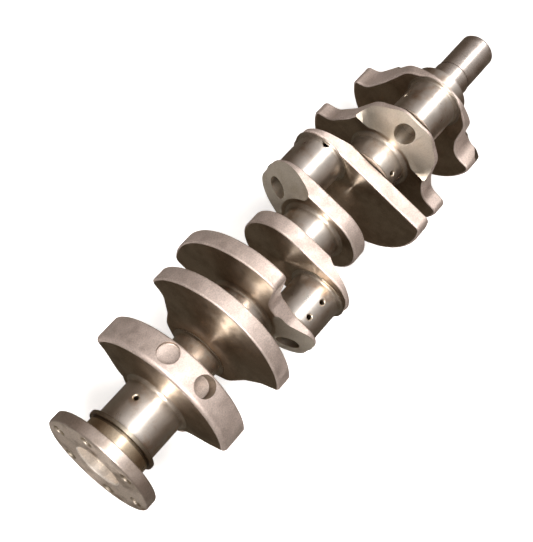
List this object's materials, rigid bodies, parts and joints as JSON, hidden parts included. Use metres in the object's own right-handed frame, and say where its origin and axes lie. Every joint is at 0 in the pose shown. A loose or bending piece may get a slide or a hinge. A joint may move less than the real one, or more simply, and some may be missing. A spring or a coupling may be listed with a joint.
{
  "type": "crankshaft",
  "caption": "Forged cross-plane crankshaft of a V8 engine: main journals, offset crankpins, webs with counterweights, a flywheel flange and a keyed nose.",
  "frame": {"origin": "on the axis of rotation, at the middle of the centre main journal (main_journal_3)", "axes": "+X along the axis of rotation from the flywheel flange to the nose; +Z from the axis through crankpin_1; +Y through crankpin_2; crankpin_3 is on -Y and crankpin_4 on -Z"},
  "size_m": [0.6122, 0.165, 0.1651],
  "materials": {
    "ground_journal": "ground and polished",
    "machined_end": "turned, slightly stained",
    "satin_forging": "satin, fine shot-blasted grain"
  },
  "bodies": {
    "root": {"counterweight_1": "satin_forging", "counterweight_2": "satin_forging", "counterweight_3": "satin_forging", "counterweight_6": "satin_forging", "counterweight_7": "satin_forging", "counterweight_8": "satin_forging", "crankpin_1": "ground_journal", "crankpin_2": "ground_journal", "crankpin_3": "ground_journal", "crankpin_4": "ground_journal", "damper_seat": "machined_end", "flywheel_flange": "machined_end", "main_journal_1": "ground_journal", "main_journal_2": "ground_journal", "main_journal_3": "ground_journal", "main_journal_4": "ground_journal", "main_journal_5": "ground_journal", "oil_slinger": "machined_end", "rear_seal_land": "machined_end", "timing_gear_seat": "machined_end", "web_4": "satin_forging", "web_5": "satin_forging"}
  },
  "joints": []
}
